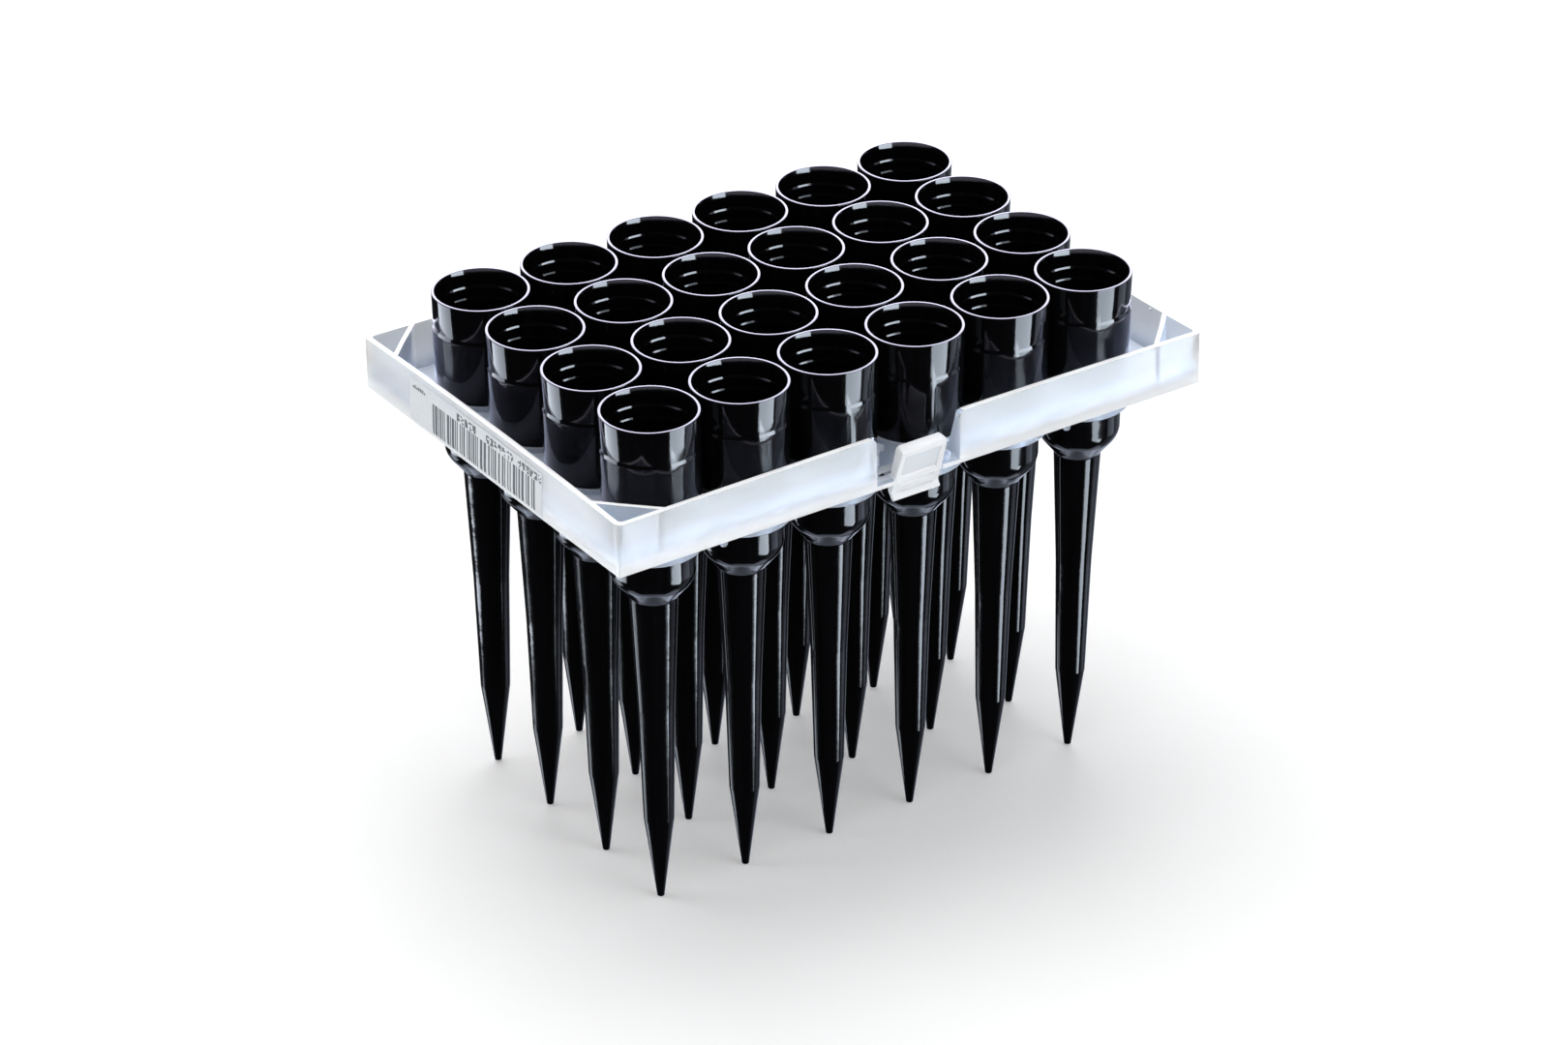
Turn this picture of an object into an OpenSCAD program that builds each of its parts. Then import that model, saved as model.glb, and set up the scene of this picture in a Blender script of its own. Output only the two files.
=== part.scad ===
// Tray of large-volume pipette tips.
// The tips hang in a moulded tray that snaps into its box with a latch on each long side.
// X runs along the six-tip side, Z is up, and the tips' ends stand on z = 0.

/* [Grid] */
// Distance between neighbouring tips
pitch = 18; // [17.8:0.1:20]
// Tips along the long side
columns = 6; // [3:1:6]
// Tips along the short side
rows = 4; // [3:1:4]

/* [Tip] */
// Length from the open rim to the orifice
tip_length = 97; // [90:0.5:110]
// Outer radius of the rim
rim_r = 8.62; // [8.4:0.02:8.7]
// Radius of the opening at the orifice
orifice_r = 0.34; // [0.2:0.02:0.4]
// Radius of the cylindrical land that a pipette nozzle seals in
seat_r = 7.35; // [7:0.05:7.4]
// Height of the collar below the rim
collar_h = 6.5; // [5:0.5:8]
// Radius of the barrel that passes through the tray
barrel_r = 7.4; // [7.2:0.05:7.5]

/* [Tray] */
// From the outer tips' axes to the end walls
end_margin = 15.8; // [14.5:0.1:18]
// From the outer tips' axes to the long walls
side_margin = 14.5; // [13.5:0.1:18]
// Height of the walls
wall_h = 10; // [8:0.2:12]
// Thickness of the walls
wall_t = 1; // [0.8:0.1:1.5]
// How far each wall leans in from top to bottom
wall_draft = 0.35; // [0:0.05:0.45]
// Thickness of the floor
floor_t = 1; // [0.8:0.1:1.5]
// Radius of the tray's upright corners
corner_r = 1.4; // [1:0.1:3]
// Radius of the hole that each tip hangs in
hole_r = 7.6; // [7.55:0.05:7.8]
// Outer radius of the ring around each hole
ring_r = 8.85; // [8.5:0.05:8.88]

/* [Latch] */
// Width of a latch plate
latch_w = 9.7; // [8:0.1:12]
// Width of the notch that a latch stands in
notch_w = 17.2; // [15:0.2:20]

/* [Label] */
// Length of the label on the end wall
label_l = 43.3; // [20:0.1:45]
// Height of the label
label_h = 8.2; // [5:0.1:8.4]

/* [Hidden] */
$fn = 96;

row_letters = ["a", "b", "c", "d"];
function tip_name(row, column) = str("tip_", row_letters[row], column + 1);
tip_names = [for (row = [0:rows - 1], column = [0:columns - 1]) tip_name(row, column)];

black = [0.04, 0.04, 0.05];
milky = [0.88, 0.91, 0.95, 0.75];
film = [0.80, 0.83, 0.86];

// Heights, all from the tips' ends
rim_z = tip_length;
ledge_z = rim_z - collar_h - 0.4;
seat_z = rim_z - 18.85;
floor_z = seat_z - 0.9;
wall_low_z = floor_z - floor_t;
wall_top_z = wall_low_z + wall_h;
ring_low_z = wall_low_z - 4.85;
rail_top_z = floor_z + 0.2;

// Half sizes of the tray at the top of its walls
half_l = (columns - 1) * pitch / 2 + end_margin;
half_w = (rows - 1) * pitch / 2 + side_margin;
draft_angle = atan(wall_draft / wall_h);

// Outer face of the rail that a latch turns on, and the slots behind it, measured in from that face
rail_face = half_w - 0.5;
rail_in = 1.9;
rail_ease = 0.4;
slot_in = 3;
strip_in = 5.1;
window_in = 11;

// Length of rail that turns with a latch
rail_w = latch_w + 0.3;

// A small overlap that makes a cut run clear through a face
eps = 0.01;

// Unit vector along v
function unit(v) = v / norm(v);

// Arc of radius r that rounds the corner b between a and c
function fillet(a, b, c, r, steps) =
    let (u = unit(a - b), v = unit(c - b), half = acos(u * v) / 2)
    let (centre = b + unit(u + v) * r / sin(half), reach = r / tan(half))
    let (p = b + u * reach - centre, q = b + v * reach - centre)
    [for (i = [0:steps]) centre + unit(p * (1 - i / steps) + q * i / steps) * r];

function flat(p) = [p[0], p[1]];

// Outline through points [x, y, corner radius]
function rounded(path, steps = 4) =
    let (n = len(path))
    [for (i = [0:n - 1]) each (path[i][2] == 0
        ? [flat(path[i])]
        : fillet(flat(path[(i + n - 1) % n]), flat(path[i]), flat(path[(i + 1) % n]), path[i][2], steps))];

// Half section of a tip: the outside from the orifice up to the rim, then the inside back down
tip_section = [
    [orifice_r, 0, 0],
    [0.64, 0, 0.16],
    [2.68, 16.2, 2],
    [3.23, 39, 60],
    [4.22, 61.05, 0.7],
    [barrel_r, 65.05, 4.6],
    [barrel_r, seat_z, 0],
    [8.45, seat_z, 0.25],
    [8.64, ledge_z, 0.06],
    [8.49, ledge_z + 0.45, 0.5],
    [rim_r, rim_z, 0.1],
    [8.14, rim_z, 0.05],
    [7.86, rim_z - 0.9, 0.1],
    [7.84, rim_z - 3.1, 0.1],
    [7.56, rim_z - 3.6, 0.1],
    [7.54, rim_z - 5.5, 0.1],
    [seat_r, rim_z - 5.85, 0],
    [seat_r, seat_z + 2.4, 0],
    [6.55, seat_z + 0.6, 0.3],
    [6.45, 66.3, 1.5],
    [3.45, 62, 1],
    [2.42, 39, 60],
    [1.88, 16.6, 2],
];

module tip() {
    rotate_extrude() polygon(rounded(tip_section));
}

function tip_x(column) = (column - (columns - 1) / 2) * pitch;
function tip_y(row) = ((rows - 1) / 2 - row) * pitch;

module rack_tip(row, column) {
    color(black) translate([tip_x(column), tip_y(row), 0]) tip();
}

module at_each_hole() {
    for (row = [0:rows - 1], column = [0:columns - 1])
        translate([tip_x(column), tip_y(row), 0]) children();
}

// Mirrored copies at both ends and both sides
module both_ends() {
    for (side = [0, 1]) mirror([side, 0, 0]) children();
}

module both_sides() {
    for (side = [0, 1]) mirror([0, side, 0]) children();
}

module rounded_rectangle(length, width, radius) {
    square([length - 2 * radius, width], center = true);
    square([length, width - 2 * radius], center = true);
    both_ends() both_sides() translate([length / 2 - radius, width / 2 - radius]) circle(radius);
}

// Block with leaning sides: its half sizes hold at wall_top_z, and it leans in below
module leaning_block(half_length, half_width, low_z, radius) {
    lean = tan(draft_angle) * (wall_top_z - low_z);
    function side(half) =
        [[-half + lean, low_z], [half - lean, low_z], [half, wall_top_z], [-half, wall_top_z]];
    intersection() {
        rotate([90, 0, 90]) linear_extrude(2 * half_length, center = true) polygon(side(half_width));
        rotate([90, 0, 0]) linear_extrude(2 * half_width, center = true) polygon(side(half_length));
        translate([0, 0, low_z])
            linear_extrude(wall_top_z - low_z)
                rounded_rectangle(2 * half_length, 2 * half_width, radius);
    }
}

module tray_shell() {
    difference() {
        leaning_block(half_l, half_w, wall_low_z, corner_r);
        translate([0, 0, eps])
            leaning_block(half_l - wall_t, half_w - wall_t, floor_z, corner_r - wall_t / 2);
    }
}

// Notch in a long wall, with its upper corners rounded off
module notch() {
    ease = 1.2;
    depth = 2 * wall_t + wall_draft;
    outline = rounded([
        [-notch_w / 2, rail_top_z - rail_ease, 0],
        [notch_w / 2, rail_top_z - rail_ease, 0],
        [notch_w / 2, wall_top_z, ease],
        [notch_w / 2 + 3, wall_top_z, 0],
        [notch_w / 2 + 3, wall_top_z + 1, 0],
        [-notch_w / 2 - 3, wall_top_z + 1, 0],
        [-notch_w / 2 - 3, wall_top_z, 0],
        [-notch_w / 2, wall_top_z, ease],
    ]);
    translate([0, -half_w + depth - wall_t / 2, 0]) rotate([90, 0, 0]) linear_extrude(depth) polygon(outline);
}

// Stands a section drawn as [distance out from the centre line, height] on the front side
module across(width) {
    rotate([90, 0, -90]) linear_extrude(width, center = true) children();
}

// Cuts through the floor that free the torsion rail and the strip behind it
module floor_slots() {
    undercut = 1.6;
    across(notch_w)
        polygon([
            [rail_face - rail_in, wall_low_z - 1],
            [rail_face - rail_in, floor_z + 1],
            [rail_face - slot_in, floor_z + 1],
            [rail_face - slot_in, floor_z],
            [rail_face - slot_in - undercut, wall_low_z],
            [rail_face - slot_in - undercut, wall_low_z - 1],
        ]);
    translate([-notch_w / 2 + 2, -rail_face + strip_in, wall_low_z - 1])
        cube([notch_w - 4, window_in - strip_in, floor_t + 2]);
}

// The torsion rail runs along the floor's edge where the wall is cut away
module rail(width) {
    across(width)
        polygon([
            [rail_face - rail_in, wall_low_z],
            [rail_face - rail_in, rail_top_z],
            [rail_face - rail_ease, rail_top_z],
            [rail_face, rail_top_z - rail_ease],
            [rail_face, wall_low_z],
        ]);
}

// Small stop on the rail beside a latch
module rail_stop() {
    stop_r = 0.75;
    stop_h = 1.45;
    translate([latch_w / 2 + 1.75, 1 - rail_face, 0])
        rotate_extrude()
            polygon(rounded([
                [0, rail_top_z - rail_ease, 0],
                [stop_r, rail_top_z - rail_ease, 0],
                [stop_r, rail_top_z + stop_h, 0.5],
                [0, rail_top_z + stop_h, 0],
            ]));
}

// Space that the latch's own length of rail fills
module latch_gap() {
    play = 0.05;
    translate([-rail_w / 2 - play, -half_w - 1, wall_low_z - 1])
        cube([rail_w + 2 * play, half_w - rail_face + slot_in + 1 - eps, rail_top_z - wall_low_z + 2]);
}

// Web across a corner, as high as the walls
module corner_web() {
    leg = 9.7;
    web_t = 0.8;
    translate([half_l - wall_draft - leg, half_w - wall_draft, floor_z])
        rotate([0, 0, -45])
            translate([0, -web_t / 2, -floor_t / 2])
                cube([leg * sqrt(2), web_t, wall_top_z - floor_z + floor_t / 2]);
}

// Rib that props the end of a cut wall
module notch_gusset() {
    translate([notch_w / 2, 0, 0])
        rotate([90, 0, 90])
            linear_extrude(wall_t)
                polygon([
                    [-half_w + wall_t * 0.9, wall_top_z - 0.1],
                    [-half_w + 4.3, floor_z - floor_t / 2],
                    [-half_w + wall_t, floor_z - floor_t / 2],
                ]);
}

// Locating peg under the floor, with a rounded end
module peg() {
    peg_r = 0.72;
    translate([2 * pitch, -half_w + 6.3, 0])
        rotate_extrude()
            polygon(rounded([
                [0, ring_low_z + 0.2, 0],
                [peg_r, ring_low_z + 0.2, 0.6],
                [peg_r, wall_low_z + floor_t / 2, 0],
                [0, wall_low_z + floor_t / 2, 0],
            ]));
}

module rings() {
    ease = 0.25;
    at_each_hole()
        rotate_extrude()
            polygon([
                [hole_r - 0.4, ring_low_z],
                [ring_r - ease, ring_low_z],
                [ring_r, ring_low_z + ease],
                [ring_r, seat_z],
                [hole_r - 0.4, seat_z],
            ]);
}

// Small pip inside the far end wall
module pip() {
    translate([half_l - wall_t - 0.35, -1.57 * pitch, wall_top_z - 0.9])
        rotate([0, 90, 0])
            cylinder(h = 0.6, r = 0.5);
}

module tray() {
    color(milky)
        difference() {
            union() {
                difference() {
                    tray_shell();
                    both_sides() notch();
                    both_sides() floor_slots();
                }
                both_sides() rail(notch_w);
                both_sides() rail_stop();
                both_ends() both_sides() notch_gusset();
                intersection() {
                    leaning_block(half_l - eps, half_w - eps, wall_low_z, corner_r);
                    both_ends() both_sides() corner_web();
                }
                both_ends() both_sides() peg();
                rings();
                pip();
            }
            at_each_hole()
                translate([0, 0, ring_low_z - 1])
                    cylinder(h = seat_z - ring_low_z + 2, r = hole_r);
            both_sides() latch_gap();
        }
}

// Side section of a latch, as [distance out from the tray's centre line, height, corner radius]
latch_section = [
    [rail_face + 0.1, seat_z + 5.65, 0.2],
    [rail_face + 2, seat_z + 4.9, 0.3],
    [rail_face - 1, seat_z - 4.2, 0.6],
    [rail_face - 0.1, seat_z - 5.2, 0.3],
    [rail_face - 0.8, seat_z - 5.6, 0.2],
    [rail_face - 2, seat_z - 4, 0.8],
    [rail_face - 0.85, seat_z + 1.7, 3],
];

// Outline of a latch plate from the front, wider at the foot, as [across, height, corner radius]
latch_outline = [
    [-latch_w / 2 - 0.25, seat_z - 5.7, 0.4],
    [latch_w / 2 + 0.25, seat_z - 5.7, 0.4],
    [latch_w / 2 - 0.25, seat_z + 5.6, 0.9],
    [-latch_w / 2 + 0.25, seat_z + 5.6, 0.9],
];

// Panel and groove on the face of the plate, which leans by lean_angle
module latch_face_cuts() {
    lean_angle = atan(3 / 9.1);
    panel_w = latch_w - 2.1;
    translate([-panel_w / 2, -rail_face - 2, seat_z + 4.9])
        rotate([lean_angle, 0, 0])
            translate([0, -1, -8.1]) cube([panel_w, 1.4, 6.9]);
    translate([-panel_w / 2, -rail_face, seat_z - 4.45]) cube([panel_w, 1.25, 0.4]);
}

// Latch plate with its length of the rail, as it stands on the front side
module latch() {
    intersection() {
        difference() {
            across(latch_w + 2) polygon(rounded(latch_section));
            latch_face_cuts();
        }
        rotate([90, 0, 0]) linear_extrude(2 * half_w) polygon(rounded(latch_outline));
    }
    rail(rail_w);
}

module front_latch() {
    color(milky) latch();
}

module rear_latch() {
    color(milky) mirror([0, 1, 0]) latch();
}

// Printed film on the outer face of the left end wall
module barcode_label() {
    film_t = 0.1;
    label_drop = 1.25;
    shift = 4.45;
    color(film)
        translate([-half_l, shift, wall_top_z])
            rotate([0, -draft_angle, 0])
                translate([-film_t, -label_l / 2, -label_drop - label_h])
                    cube([film_t, label_l, label_h]);
}

tray();
front_latch();
rear_latch();
barcode_label();
for (row = [0:rows - 1], column = [0:columns - 1])
    rack_tip(row, column);
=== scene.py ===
import math
import random

import bmesh
import bpy
from mathutils import Matrix, Vector


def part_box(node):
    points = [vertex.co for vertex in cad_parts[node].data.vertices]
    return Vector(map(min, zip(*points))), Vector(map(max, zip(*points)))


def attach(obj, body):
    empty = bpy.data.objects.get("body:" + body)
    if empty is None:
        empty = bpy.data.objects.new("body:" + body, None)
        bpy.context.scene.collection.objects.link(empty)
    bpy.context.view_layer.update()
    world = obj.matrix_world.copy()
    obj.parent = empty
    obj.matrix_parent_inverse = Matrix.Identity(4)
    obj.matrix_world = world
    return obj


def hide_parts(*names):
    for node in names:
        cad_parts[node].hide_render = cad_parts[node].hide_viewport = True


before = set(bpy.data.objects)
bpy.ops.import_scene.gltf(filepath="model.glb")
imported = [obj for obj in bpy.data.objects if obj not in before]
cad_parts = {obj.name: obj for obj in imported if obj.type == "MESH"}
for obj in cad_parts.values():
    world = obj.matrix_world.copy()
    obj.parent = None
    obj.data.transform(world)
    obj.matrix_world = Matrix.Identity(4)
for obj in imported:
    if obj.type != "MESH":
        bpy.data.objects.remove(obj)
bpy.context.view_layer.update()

MM = 0.001


def clamped(value):
    return max(0.0, min(1.0, value))


# ---------------------------------------------------------------- materials
class Graph:
    """The node tree of a material or a world, with short calls for making and joining nodes."""

    def __init__(self, owner, output):
        owner.use_nodes = True
        self.owner = owner
        self.tree = owner.node_tree
        self.tree.nodes.clear()
        self.out = self.node(output)

    def node(self, kind, **settings):
        n = self.tree.nodes.new(kind)
        for key, value in settings.items():
            setattr(n, key, value)
        return n

    def link(self, a, b):
        self.tree.links.new(a, b)

    def put(self, n, key, value):
        """Joins value to an input if it is a socket, and sets it there if not."""
        if isinstance(value, bpy.types.NodeSocket):
            self.link(value, n.inputs[key])
        else:
            n.inputs[key].default_value = value

    def math(self, operation, a, b=0.0):
        n = self.node("ShaderNodeMath", operation=operation)
        self.put(n, 0, a)
        self.put(n, 1, b)
        return n.outputs[0]

    def object_point(self):
        return self.node("ShaderNodeTexCoord").outputs["Object"]

    def split(self, vector):
        n = self.node("ShaderNodeSeparateXYZ")
        self.link(vector, n.inputs[0])
        return n.outputs

    def noise(self, scale, vector, detail=3.0, roughness=0.5):
        n = self.node("ShaderNodeTexNoise")
        self.put(n, "Vector", vector)
        self.put(n, "Scale", scale)
        self.put(n, "Detail", detail)
        self.put(n, "Roughness", roughness)
        return n.outputs["Fac"]

    def stretch(self, vector, scale):
        n = self.node("ShaderNodeMapping")
        self.put(n, "Vector", vector)
        self.put(n, "Scale", scale)
        return n.outputs["Vector"]

    def ramp(self, factor, stops):
        """Blend between two (position, colour) stops."""
        n = self.node("ShaderNodeValToRGB")
        self.put(n, "Fac", factor)
        for element, (at, colour) in zip(n.color_ramp.elements, stops):
            element.position = at
            element.color = (*colour, 1.0)
        return n.outputs["Color"]

    def fade(self, value, low, high, at_low=0.0, at_high=1.0):
        """Smooth step from at_low to at_high while value goes from low to high."""
        n = self.node("ShaderNodeMapRange", interpolation_type="SMOOTHSTEP")
        self.put(n, "Value", value)
        self.put(n, "From Min", low)
        self.put(n, "From Max", high)
        self.put(n, "To Min", at_low)
        self.put(n, "To Max", at_high)
        return n.outputs[0]

    def bump(self, height, strength, distance, normal=None):
        n = self.node("ShaderNodeBump")
        self.put(n, "Height", height)
        self.put(n, "Strength", strength)
        self.put(n, "Distance", distance)
        if normal is not None:
            self.put(n, "Normal", normal)
        return n.outputs["Normal"]

    def mix(self, factor, a, b):
        """Shader a where factor is 0 and b where it is 1."""
        n = self.node("ShaderNodeMixShader")
        self.link(factor, n.inputs[0])
        self.link(a, n.inputs[1])
        self.link(b, n.inputs[2])
        return n.outputs[0]

    def add(self, a, b):
        n = self.node("ShaderNodeAddShader")
        self.link(a, n.inputs[0])
        self.link(b, n.inputs[1])
        return n.outputs[0]

    def surface(self, shader):
        self.link(shader, self.out.inputs["Surface"])

    def principled(self, **inputs):
        n = self.node("ShaderNodeBsdfPrincipled")
        for key, value in inputs.items():
            self.put(n, key.replace("_", " "), value)
        self.surface(n.outputs["BSDF"])


def material_graph(name):
    return Graph(bpy.data.materials.new(name), "ShaderNodeOutputMaterial")


def grey(value):
    return (value, value, value)


def black_plastic():
    """Glossy black, with faint lines along each tip and a light ripple."""
    g = material_graph("black_plastic")
    at = g.object_point()
    lines = g.noise(1.0, g.stretch(at, (900.0, 900.0, 12.0)), 2.0)
    cloud = g.noise(160.0, at, 4.0)
    wave = g.noise(260.0, at)
    normal = g.bump(lines, 0.05, 0.00001)
    normal = g.bump(cloud, 0.02, 0.0001, normal)
    normal = g.bump(wave, 0.5, 0.00006, normal)
    g.principled(
        Base_Color=g.ramp(lines, [(0.3, (0.0012, 0.0012, 0.0015)), (0.75, (0.0026, 0.0026, 0.0032))]),
        Roughness=g.ramp(cloud, [(0.3, grey(0.06)), (0.7, grey(0.10))]),
        Normal=normal,
        IOR=1.5,
        Specular_IOR_Level=0.11,
    )
    return g.owner


# Heights in mm over which the lighter colour at a milky wall's foot, painted light for the lit floor that
# shows through it, gives way to its own, and over which its transmission rises from ROOT_CLEAR
PAINTED_LIGHT_FADE = (78.5, 83.0)
ROOT_CLOUDY = (77.0, 80.0)
ROOT_CLEAR = 0.1


def milky_plastic(name, low, high, clear, depth=0.0015, painted_light_foot=None):
    """Cloudy translucent plastic. The foot colour, where given, is painted light: lighter near the floor
    of the tray, for the lit floor showing through the wall.
    """
    g = material_graph(name)
    at = g.object_point()
    draw_lines = g.noise(1.0, g.stretch(at, (700.0, 700.0, 15.0)), 2.0)
    cloud = g.noise(45.0, at, 4.0, 0.6)
    grain = g.noise(2600.0, at, 2.0)
    colour = g.ramp(cloud, [(0.3, low), (0.7, high)])
    # Painted light: a lighter colour towards the foot of the wall
    if painted_light_foot:
        height = g.split(at)["Z"]
        blend = g.node("ShaderNodeMix", data_type="RGBA")
        g.link(g.fade(height, *(z * MM for z in PAINTED_LIGHT_FADE)), blend.inputs["Factor"])
        blend.inputs["A"].default_value = (*painted_light_foot, 1)
        g.link(colour, blend.inputs["B"])
        colour = blend.outputs["Result"]
        clear = g.fade(height, *(z * MM for z in ROOT_CLOUDY), ROOT_CLEAR, clear)
    g.principled(
        Base_Color=colour,
        Roughness=g.ramp(grain, [(0.3, grey(0.08)), (0.7, grey(0.13))]),
        Normal=g.bump(draw_lines, 0.35, 0.00003, g.bump(grain, 0.12, 0.00003)),
        IOR=1.11,
        Subsurface_Weight=0.65,
        Subsurface_Radius=(1.0, 1.0, 1.0),
        Subsurface_Scale=depth,
        Transmission_Weight=clear,
    )
    return g.owner


def label_film():
    g = material_graph("label_film")
    grain = g.noise(900.0, g.object_point())
    g.principled(
        Base_Color=g.ramp(grain, [(0.3, (0.64, 0.66, 0.675)), (0.7, (0.68, 0.70, 0.715))]),
        Roughness=0.5,
        Normal=g.bump(grain, 0.1, 0.00002),
        IOR=1.15,
    )
    return g.owner


def print_ink():
    g = material_graph("print_ink")
    grain = g.noise(1500.0, g.object_point(), 2.0)
    g.principled(
        Base_Color=g.ramp(grain, [(0.35, (0.07, 0.075, 0.08)), (0.7, (0.10, 0.105, 0.11))]),
        Roughness=0.55,
        IOR=1.15,
    )
    return g.owner


BLACK = black_plastic()
MILKY = milky_plastic("milky_plastic", (0.63, 0.68, 0.755), (0.68, 0.72, 0.79), 0.60)
# The outer walls carry painted light at their foot, lighter towards the floor of the tray.
OUTSIDE = milky_plastic("milky_outside", (0.692, 0.674, 0.632), (0.732, 0.708, 0.664), 0.60,
                        painted_light_foot=(0.90, 0.92, 0.94))
# Painted light: a lighter, less see-through copy for the deck tops and the notch sides, standing in for
# light falling on them and through the notch.
DECK_PAINTED_LIGHT = milky_plastic("milky_deck_painted_light", (0.70, 0.75, 0.82), (0.75, 0.79, 0.86), 0.25)
LATCH = milky_plastic("milky_latch", (0.88, 0.905, 0.93), (0.91, 0.93, 0.95), 0.10)
# Painted shade: a darker copy for the latch's outer panel, standing in for the shade in its recess.
PANEL_SHADE = milky_plastic("milky_panel_shade", (0.79, 0.83, 0.875), (0.83, 0.86, 0.90), 0.20)
# Painted highlight: a whiter copy with no transmission for rounded edges and top faces, lighter where
# light catches them.
EDGE_HIGHLIGHT = milky_plastic("milky_edge_highlight", (0.92, 0.93, 0.94), (0.95, 0.955, 0.96), 0.0, 0.0002)
FILM = label_film()
INK = print_ink()


# ---------------------------------------------------------------- mesh tools
def fillet(a, b, c, radius, steps):
    """Arc that rounds the corner b between a and c."""
    u, v = (a - b).normalized(), (c - b).normalized()
    half = math.acos(max(-1.0, min(1.0, u.dot(v)))) / 2
    centre = b + (u + v).normalized() * (radius / math.sin(half))
    p = b + u * (radius / math.tan(half)) - centre
    q = b + v * (radius / math.tan(half)) - centre
    turn = math.atan2(p.x * q.y - p.y * q.x, p.dot(q))
    out = []
    for i in range(steps + 1):
        cos, sin = math.cos(turn * i / steps), math.sin(turn * i / steps)
        out.append(centre + Vector((p.x * cos - p.y * sin, p.x * sin + p.y * cos)))
    return out


def rounded(path):
    """Closed 2-D outline through points (x, y, radius, steps)."""
    corners = [Vector(p[:2]) for p in path]
    out = []
    for i, (_, _, radius, steps) in enumerate(path):
        out += fillet(corners[i - 1], corners[i], corners[(i + 1) % len(path)], radius, steps)
    return out


def revolve(outline, count):
    """Closed ring mesh from a closed outline of (radius, height) points."""
    bm = bmesh.new()
    rings = []
    for r, z in outline:
        turns = [2 * math.pi * k / count for k in range(count)]
        rings.append([bm.verts.new((r * math.cos(t), r * math.sin(t), z)) for t in turns])
    for a, b in zip(rings, rings[1:] + rings[:1]):
        for k in range(count):
            m = (k + 1) % count
            bm.faces.new((a[k], a[m], b[m], b[k]))
    return bm


def new_object(name, bm, mats, smooth=True):
    mesh = bpy.data.meshes.new(name)
    bmesh.ops.recalc_face_normals(bm, faces=bm.faces)
    for face in bm.faces:
        face.smooth = smooth
    bm.to_mesh(mesh)
    bm.free()
    for mat in mats:
        mesh.materials.append(mat)
    obj = bpy.data.objects.new(name, mesh)
    bpy.context.scene.collection.objects.link(obj)
    return obj


def new_piece(name, bm, mats, node, body, smooth=True):
    """Object that stands for a CAD node, on that node's body."""
    obj = new_object(name, bm, mats, smooth)
    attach(obj, body)
    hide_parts(node)
    return obj


# ---------------------------------------------------------------- tips
RIM = 97.0
SEAT = 78.15
# Radius, height, corner radius and its steps: up the outside, then down the bore, in mm
TIP_OUTLINE = [
    (0.34, 0.0, 0.06, 2),
    (0.64, 0.0, 0.16, 4),
    (2.68, 16.2, 3, 4),
    (3.23, 39.0, 60, 4),
    (4.22, 61.45, 0.8, 6),
    (7.4, 65.45, 4.6, 12),
    (7.4, SEAT - 0.1, 0.2, 3),
    (7.6, SEAT, 0.05, 2),
    (8.45, SEAT, 0.25, 4),
    (8.64, 90.1, 0.16, 4),
    (8.49, 90.75, 0.45, 5),
    (8.62, RIM, 0.14, 4),
    (8.14, RIM, 0.08, 4),
    (7.86, RIM - 0.9, 0.15, 3),
    (7.84, RIM - 3.15, 0.05, 3),
    (7.66, RIM - 3.47, 0.05, 3),
    (7.62, RIM - 5.3, 0.05, 3),
    (7.44, RIM - 5.57, 0.05, 3),
    (7.35, SEAT + 2.4, 0.3, 3),
    (6.55, SEAT + 0.6, 0.4, 4),
    (6.45, 66.3, 1.5, 4),
    (3.45, 62.0, 1, 4),
    (2.42, 39.0, 60, 4),
    (1.88, 16.6, 2, 3),
]
AROUND = 128
# The tips hang with a little play, so their ends lean inwards and back, each one its own way.
# How far an end goes: SPREAD_IN for each metre of x, SPREAD_BACK for each metre of y from BACK_LINE,
# BACK for all, and up to LOOSE_X and LOOSE_Y either way at random.
SPREAD_IN, SPREAD_BACK = -0.010, 0.012
BACK_LINE = -0.027
BACK = 0.35 * MM
LOOSE_X, LOOSE_Y = 0.25 * MM, 0.2 * MM


def make_tips():
    rng = random.Random(24)
    outline = [p * MM for p in rounded(TIP_OUTLINE)]
    for node in sorted(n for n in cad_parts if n.startswith("tip_")):
        lo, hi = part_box(node)
        x, y = (lo[0] + hi[0]) / 2, (lo[1] + hi[1]) / 2
        lean_x = (SPREAD_IN * x + rng.uniform(-LOOSE_X, LOOSE_X)) / (SEAT * MM)
        lean_y = (SPREAD_BACK * (y - BACK_LINE) + BACK + rng.uniform(-LOOSE_Y, LOOSE_Y)) / (SEAT * MM)
        bm = revolve(outline, AROUND)
        for v in bm.verts:
            drop = SEAT * MM - v.co.z
            v.co.x += x + drop * lean_x
            v.co.y += y + drop * lean_y
        new_piece("black_" + node, bm, [BLACK], node, "rack")


# ---------------------------------------------------------------- tray and latches
# All in mm: half the tray's length and width, the height of the walls' top, and how far a wall
# leans in for each mm below it
HALF_L, HALF_W = 60.8, 41.5
WALL_TOP = 86.25
WALL_DRAFT = 0.035
# How far the middles of the end and side walls lean in at the top, and the height this starts at.
# It takes in the outer BOW_SOLID of the tray in full, and fades over the next BOW_BLEND.
END_BOW, SIDE_BOW = 0.65, 0.58
BOW_FROM = 78.3
BOW_SOLID, BOW_BLEND = 1.7, 6.0
# The tray's faces are cut at this pitch, so that they can bend
CUT_PITCH = 8
# Half the width of the space around a notch, and the y from which it counts
NOTCH_X, NOTCH_Y = 9, 35
# Smallest area of a face that counts as a latch's outer panel, in square mm
LATCH_PANEL_AREA = 30
# A latch plate narrows below FOOT_TOP, by FOOT_DRAW of its width after FOOT_BLEND
FOOT_TOP, FOOT_BLEND, FOOT_DRAW = 75.6, 2.5, 0.055
EDGE_ROUND = 0.15


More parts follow.
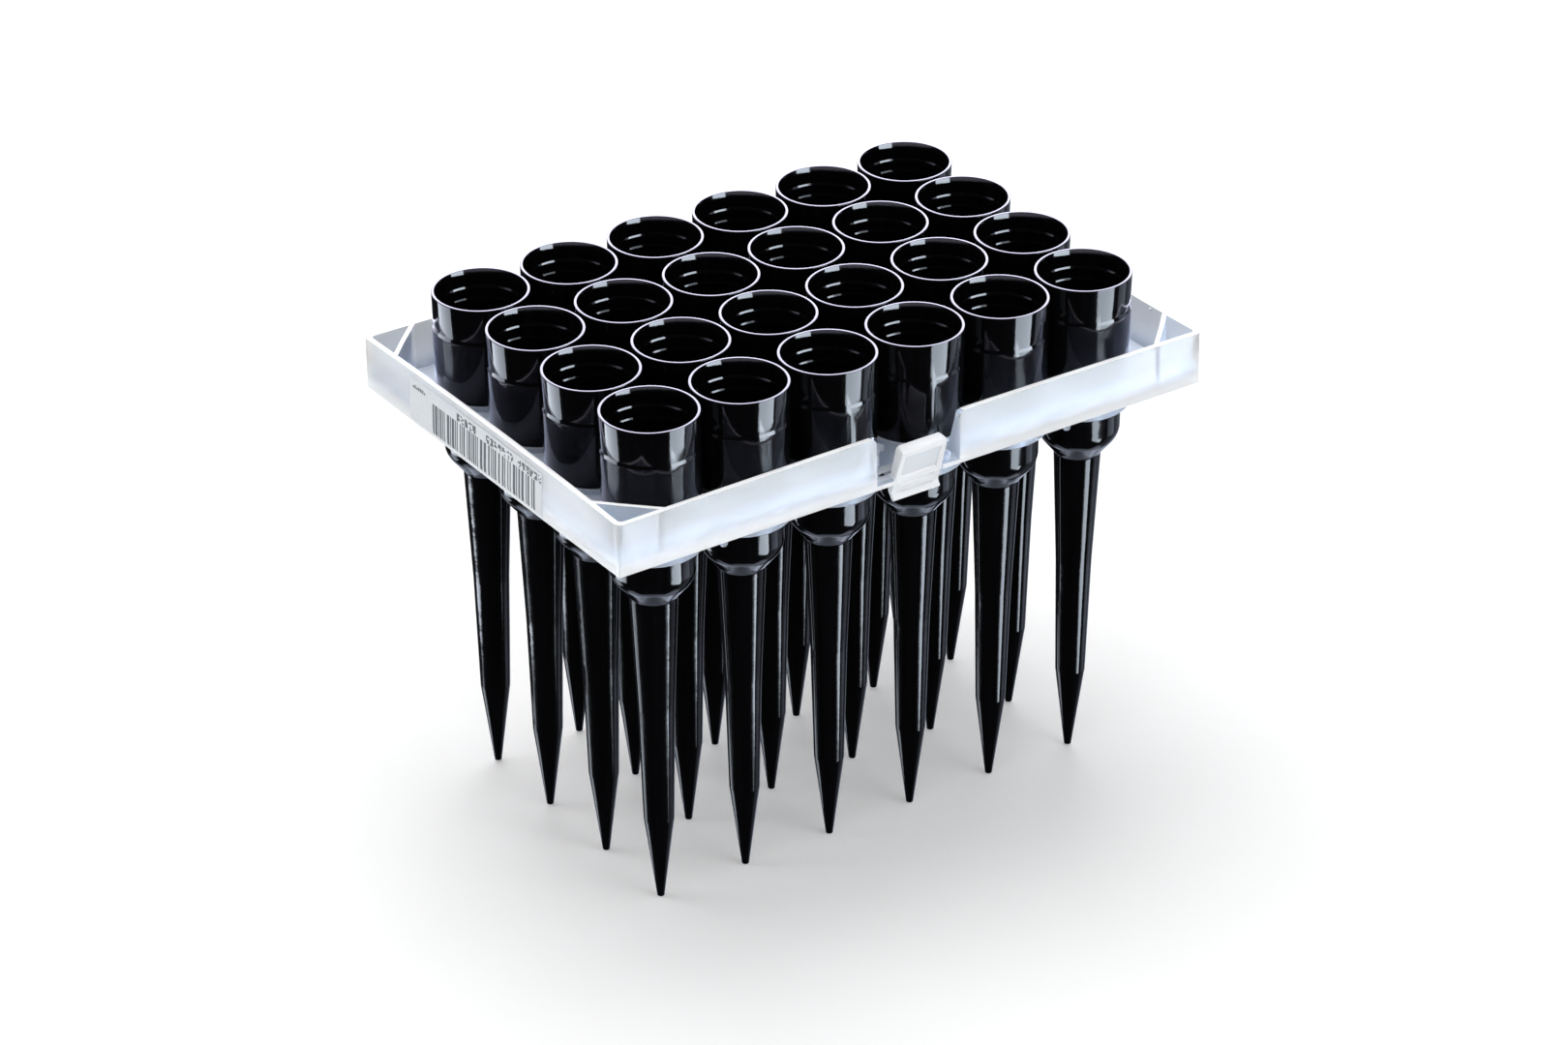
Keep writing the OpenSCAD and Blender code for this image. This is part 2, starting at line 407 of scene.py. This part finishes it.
def bowed(x, y, z):
    """Moves a point, in mm, with the walls, whose middles lean inwards at the top."""
    up = clamped((z - BOW_FROM) / (WALL_TOP - BOW_FROM))
    near_side = clamped(1 - (HALF_W - abs(y) - BOW_SOLID) / BOW_BLEND)
    near_end = clamped(1 - (HALF_L - abs(x) - BOW_SOLID) / BOW_BLEND)
    dy = SIDE_BOW * (1 - (x / HALF_L) ** 2) * up * near_side
    dx = END_BOW * (1 - (y / HALF_W) ** 2) * up * near_end
    return x - math.copysign(dx, x), y - math.copysign(dy, y), z


def narrow_foot(x, y, z):
    """Draws the foot of a latch plate in a little, in mm."""
    return x * (1 - FOOT_DRAW * clamped((FOOT_TOP - z) / FOOT_BLEND)), y, z


def tray_material(face, centre):
    """0 milky, 1 painted highlight of edges and wall tops, 2 outside of the walls, 3 deck and notch
    sides, lighter as painted light.
    """
    # Wall tops take the painted highlight.
    if face.normal.z > 0.9 and centre.z > WALL_TOP - 0.6:
        return 1
    if abs(face.normal.z) < 0.5 and max(abs(centre.x) - HALF_L, abs(centre.y) - HALF_W) > -0.6:
        return 2
    # The deck tops and the notch sides take the lighter copy, painted light.
    notch_side = abs(face.normal.x) > 0.9 and abs(centre.x) < NOTCH_X and abs(centre.y) > NOTCH_Y
    return 3 if face.normal.z > 0.9 or notch_side else 0


def latch_material(face, centre):
    """0 plate, 1 painted highlight of edges and side faces, 2 the outer panel, darker as painted shade of
    its recess.
    """
    # Side faces, and upward faces below the seat, take the painted highlight.
    if abs(face.normal.x) > 0.7 or (face.normal.z > 0.5 and centre.z < SEAT):
        return 1
    # The outer panel takes the darker copy, painted shade.
    outward = face.normal.y * math.copysign(1, centre.y)
    return 2 if outward > 0.8 and face.calc_area() > LATCH_PANEL_AREA * MM * MM else 0


def copy_of_node(node, name, body, mats, material_of, bend, cuts=()):
    """A copy of a CAD node's mesh with its flat faces joined, cut and bent, and its edges rounded."""
    bm = bmesh.new()
    bm.from_mesh(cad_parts[node].data)
    bmesh.ops.remove_doubles(bm, verts=bm.verts, dist=1e-6)
    bmesh.ops.dissolve_limit(bm, angle_limit=math.radians(1.0), verts=bm.verts, edges=bm.edges,
                             use_dissolve_boundaries=False)
    for point, normal in cuts:
        bmesh.ops.bisect_plane(bm, geom=bm.verts[:] + bm.edges[:] + bm.faces[:], plane_co=point,
                               plane_no=normal, dist=1e-7)
    bm.normal_update()
    for face in bm.faces:
        face.material_index = material_of(face, face.calc_center_median() / MM)
    for v in bm.verts:
        v.co = Vector(bend(*(v.co / MM))) * MM
    obj = new_piece(name, bm, mats, node, body)
    m = obj.modifiers.new("round", "BEVEL")
    m.width = EDGE_ROUND * MM
    m.segments = 3
    m.limit_method = "ANGLE"
    m.angle_limit = math.radians(30)
    m.harden_normals = True
    # The rounded edges take material 1, the painted highlight.
    m.material = 1


def make_tray():
    cuts = [((x * CUT_PITCH * MM, 0, 0), (1, 0, 0)) for x in range(-7, 8)]
    cuts += [((0, y * CUT_PITCH * MM, 0), (0, 1, 0)) for y in range(-5, 6)]
    cuts.append(((0, 0, BOW_FROM * MM), (0, 0, 1)))
    mats = [MILKY, EDGE_HIGHLIGHT, OUTSIDE, DECK_PAINTED_LIGHT]
    copy_of_node("tray", "milky_tray", "rack", mats, tray_material, bowed, cuts)


def make_latches():
    for node in ("front_latch", "rear_latch"):
        copy_of_node(node, "milky_" + node, node, [LATCH, EDGE_HIGHLIGHT, PANEL_SHADE], latch_material, narrow_foot)


# ---------------------------------------------------------------- label
# In mm: y runs to the left and z up as the label is seen. FILM_AT and INK_AT are the lowest and
# highest level above the wall's face; the film is sunk into it a little.
LABEL_LEFT, LABEL_RIGHT = 26.1, -17.2
LABEL_TOP, LABEL_LOW = 85.0, 76.8
LABEL_STEPS = 48
FILM_AT = (-0.03, 0.055)
INK_AT = (0.045, 0.07)
BARS_LEFT, BARS_RIGHT = 18.4, -15.4
BARS_LOW, BARS_TOP = 77.1, 82.8
BAR_WIDTHS = (0.3, 0.3, 0.5, 0.75)
BAR_GAPS = (0.28, 0.28, 0.45, 0.7)
DOT_GROUPS = ((10.4, 3.7), (0.84, -8.0), (-9.5, -17.0))
DOTS_LOW = 83.0
DOT_ROWS, DOT_COLUMNS = 4, 3
DOT_RISE, DOT_STEP = 0.37, 0.34
DOT_HEIGHT, DOT_WIDTH = 0.34, 0.32
DOT_BLOCK, DOT_PITCH = 0.9, 1.3
DOT_SHARE = 0.62
DASHES, DASHES_LEFT = 7, 24.9
DASH_PITCH, DASH_WIDTH = 0.6, 0.42
DASH_LOW, DASH_BASE = 83.25, 83.4
DASH_HEIGHTS = (0.3, 0.55)


def wall_patch(bm, y0, y1, z0, z1, low, high, index, steps=1):
    """Thin closed patch on the left end wall, from low to high above the wall's face, all in mm."""
    if z0 < BOW_FROM < z1:
        wall_patch(bm, y0, y1, z0, BOW_FROM, low, high, index, steps)
        wall_patch(bm, y0, y1, BOW_FROM, z1, low, high, index, steps)
        return

    def point(y, z, off):
        x, y, z = bowed(-HALF_L + WALL_DRAFT * (WALL_TOP - z), y, z)
        return Vector((x - off, y, z)) * MM

    ring = ((z0, low), (z1, low), (z1, high), (z0, high))
    columns = []
    for i in range(steps + 1):
        y = y0 + (y1 - y0) * i / steps
        columns.append([bm.verts.new(point(y, z, off)) for z, off in ring])
    faces = [columns[0], columns[-1][::-1]]
    for a, b in zip(columns, columns[1:]):
        for k in range(4):
            m = (k + 1) % 4
            faces.append((a[k], b[k], b[m], a[m]))
    for f in faces:
        bm.faces.new(f).material_index = index


def make_label():
    rng = random.Random(7)
    bm = bmesh.new()
    wall_patch(bm, LABEL_RIGHT, LABEL_LEFT, LABEL_LOW, LABEL_TOP, *FILM_AT, 0, LABEL_STEPS)

    def ink(left, width, z0, z1):
        wall_patch(bm, left - width, left, z0, z1, *INK_AT, 1)

    # Plain bars of mixed width
    y = BARS_LEFT
    while y > BARS_RIGHT:
        width = rng.choice(BAR_WIDTHS)
        ink(y, width, BARS_LOW, BARS_TOP)
        y -= width + rng.choice(BAR_GAPS)
    # A row of dot patterns above the bars, in three groups
    for y, end in DOT_GROUPS:
        while y - DOT_BLOCK > end:
            for row in range(DOT_ROWS):
                for column in range(DOT_COLUMNS):
                    if rng.random() < DOT_SHARE:
                        z = DOTS_LOW + row * DOT_RISE
                        ink(y - column * DOT_STEP, DOT_WIDTH, z, z + DOT_HEIGHT)
            y -= DOT_PITCH
    # A short row of dashes at the left
    for k in range(DASHES):
        top = DASH_BASE + rng.choice(DASH_HEIGHTS)
        ink(DASHES_LEFT - k * DASH_PITCH, DASH_WIDTH, DASH_LOW, top)
    new_piece("film_label", bm, [FILM, INK], "barcode_label", "rack", smooth=False)


# ---------------------------------------------------------------- floor and world
# The floor's own grey, and the glow that the camera sees on top of it
FLOOR_GREY = 0.86
FLOOR_GLOW = 0.175
FLOOR_SIZE = 3.0
FLOOR_DROP = 0.2 * MM


def make_floor():
    """Brightened for the camera, with the object's shadow on it, and plain grey for other rays."""
    g = material_graph("studio_floor")
    diffuse = g.node("ShaderNodeBsdfDiffuse")
    g.put(diffuse, "Color", (*grey(FLOOR_GREY), 1))
    glow = g.node("ShaderNodeEmission")
    g.put(glow, "Strength", FLOOR_GLOW)
    camera_ray = g.node("ShaderNodeLightPath").outputs["Is Camera Ray"]
    g.surface(g.mix(camera_ray, diffuse.outputs[0], g.add(diffuse.outputs[0], glow.outputs[0])))
    bm = bmesh.new()
    bmesh.ops.create_grid(bm, x_segments=2, y_segments=2, size=FLOOR_SIZE)
    bmesh.ops.translate(bm, verts=bm.verts, vec=(0, 0, -FLOOR_DROP))
    floor = new_object("studio_floor", bm, [g.owner], smooth=False)
    floor.visible_glossy = False
    floor.visible_transmission = False
    floor.visible_shadow = False


# Soft glows that only reflections show: azimuth of the centre, half width, lowest and highest
# elevation, softness, all in degrees, and strength. The camera stands at azimuth -124.
LOW_GLOWS = [
    (6, 42, -60, -8, 4, 0.45),
    (-22, 13, -33, -8, 3, 2.6),
    (56, 40, -62, -36, 3, 0.9),
    (56, 100, -75, -58, 3, 2.6),
    (56, 181, -100, -75, 3, 2.6),
]
HIGH_GLOWS = [
    (56, 50, 14, 60, 5, 27.0),
    (0, 181, 9, 19, 3, 6.0),
    (0, 181, 66, 100, 5, 3.0),
]
LOW_COLOUR = (0.72, 0.80, 1.0)
HIGH_COLOUR = (0.80, 0.79, 1.0)
# What reflections show everywhere else, and the even dome that lights the object
EVERYWHERE = 0.05
DOME = 0.6


def make_world():
    """White for the camera and through the tray, an even dome for light, soft glows for reflections."""
    world = bpy.data.worlds.new("studio")
    bpy.context.scene.world = world
    g = Graph(world, "ShaderNodeOutputWorld")
    x, y, z = g.split(g.node("ShaderNodeTexCoord").outputs["Generated"])
    azimuth = g.math("MULTIPLY", g.math("ARCTAN2", y, x), 180 / math.pi)
    elevation = g.math("MULTIPLY", g.math("ARCSINE", z), 180 / math.pi)

    def band(value, low, high, soft):
        up = g.fade(value, low - soft, low + soft)
        down = g.fade(value, high - soft, high + soft)
        return g.math("SUBTRACT", up, down)

    def turned(centre):
        """Azimuth measured from centre, from -180 to 180."""
        a = g.math("ADD", azimuth, 540.0 - centre)
        return g.math("SUBTRACT", g.math("MODULO", a, 360.0), 180.0)

    def glow(centre, half_width, low, high, soft, strength):
        across = band(turned(centre), -half_width, half_width, soft)
        up = band(elevation, low, high, soft)
        return g.math("MULTIPLY", g.math("MULTIPLY", across, up), strength)

    def total(glows, start):
        strength = start
        for part in glows:
            strength = g.math("ADD", strength, glow(*part))
        return strength

    def background(strength, colour=(1, 1, 1)):
        n = g.node("ShaderNodeBackground")
        g.put(n, "Color", (*colour, 1))
        g.put(n, "Strength", strength)
        return n.outputs[0]

    path = g.node("ShaderNodeLightPath").outputs
    white = g.math("MAXIMUM", path["Is Camera Ray"], path["Is Transmission Ray"])
    mirrored = g.math("GREATER_THAN", path["Glossy Depth"], 0.5)
    shown = g.mix(white, background(DOME), background(1.0))
    low = background(total(LOW_GLOWS, EVERYWHERE), LOW_COLOUR)
    high = background(total(HIGH_GLOWS, 0.0), HIGH_COLOUR)
    g.surface(g.mix(mirrored, shown, g.add(low, high)))


# ---------------------------------------------------------------- lights and camera
# Name, place, aim, size and strength, in metres. The lamps light the object, and no reflection
# shows them.
LAMPS = [
    ("top_light", (0.12, 0.34, 1.0), (0, 0, 0.05), (0.75, 0.75), 2.4),
    ("right_light", (0.35, -0.85, 0.55), (0, 0, 0.08), (0.6, 0.6), 1.3),
    ("left_light", (-0.75, 0.65, 0.6), (0, 0, 0.08), (0.6, 0.6), 1.4),
]
# The panels are softboxes that only reflections show.
RIGHT_PANELS = [
    ("right_top_panel", (0.138, -0.328, 0.3125), (0, 0, 0.3125), (0.24, 0.075), 11),
    ("right_high_panel", (0.138, -0.328, 0.1525), (0, 0, 0.1525), (0.24, 0.245), 52),
    ("right_panel", (0.138, -0.328, -0.035), (0, 0, -0.035), (0.24, 0.13), 29),
    ("right_low_panel", (0.124, -0.333, -0.1425), (-0.170, -0.142, -0.1425), (0.225, 0.085), 27),
    ("right_foot_panel", (0.124, -0.333, -0.197), (-0.170, -0.142, -0.197), (0.225, 0.024), 4.2),
]
LEFT_PANELS = [
    ("left_panel", (-0.838, 0.609, -0.34), (-0.045, 0, -0.34), (0.75, 0.56), 16),
    ("left_low_panel", (-0.575, 0.821, -0.79), (-0.045, -0.027, -0.79), (0.5, 0.34), 3.6),
]
RIGHT_COLOUR = (0.78, 0.88, 1.0)
LEFT_COLOUR = (0.80, 0.88, 1.0)


def area_light(name, at, aim, size, strength, mirrored_colour=None):
    """Soft panel. With a mirrored colour, only reflections show it; without, it only lights."""
    data = bpy.data.lights.new(name, "AREA")
    data.shape = "RECTANGLE"
    data.size, data.size_y = size
    data.energy = strength * 4 * size[0] * size[1]
    data.color = mirrored_colour or (1, 1, 1)
    obj = bpy.data.objects.new(name, data)
    bpy.context.scene.collection.objects.link(obj)
    turn = (Vector(aim) - Vector(at)).to_track_quat("-Z", "Y")
    obj.matrix_world = Matrix.Translation(at) @ turn.to_matrix().to_4x4()
    obj.visible_camera = False
    obj.visible_diffuse = mirrored_colour is None
    obj.visible_glossy = mirrored_colour is not None


def make_lights():
    for lamp in LAMPS:
        area_light(*lamp)
    for panel in RIGHT_PANELS:
        area_light(*panel, RIGHT_COLOUR)
    for panel in LEFT_PANELS:
        area_light(*panel, LEFT_COLOUR)


# Metres, degrees and millimetres of lens
CAMERA_AT = (-0.45181, -0.67024, 0.50389)
CAMERA_TURN = (60.594, 0.364, -34.190)
LENS = 119.21
SENSOR = 36.0
CLIP_END = 20


def make_camera():
    data = bpy.data.cameras.new("camera")
    data.sensor_width = SENSOR
    data.lens = LENS
    data.clip_end = CLIP_END
    obj = bpy.data.objects.new("camera", data)
    bpy.context.scene.collection.objects.link(obj)
    obj.location = CAMERA_AT
    obj.rotation_euler = [math.radians(a) for a in CAMERA_TURN]
    bpy.context.scene.camera = obj


make_tips()
make_tray()
make_latches()
make_label()
make_floor()
make_world()
make_lights()
make_camera()
bpy.context.scene.view_settings.view_transform = "Standard"
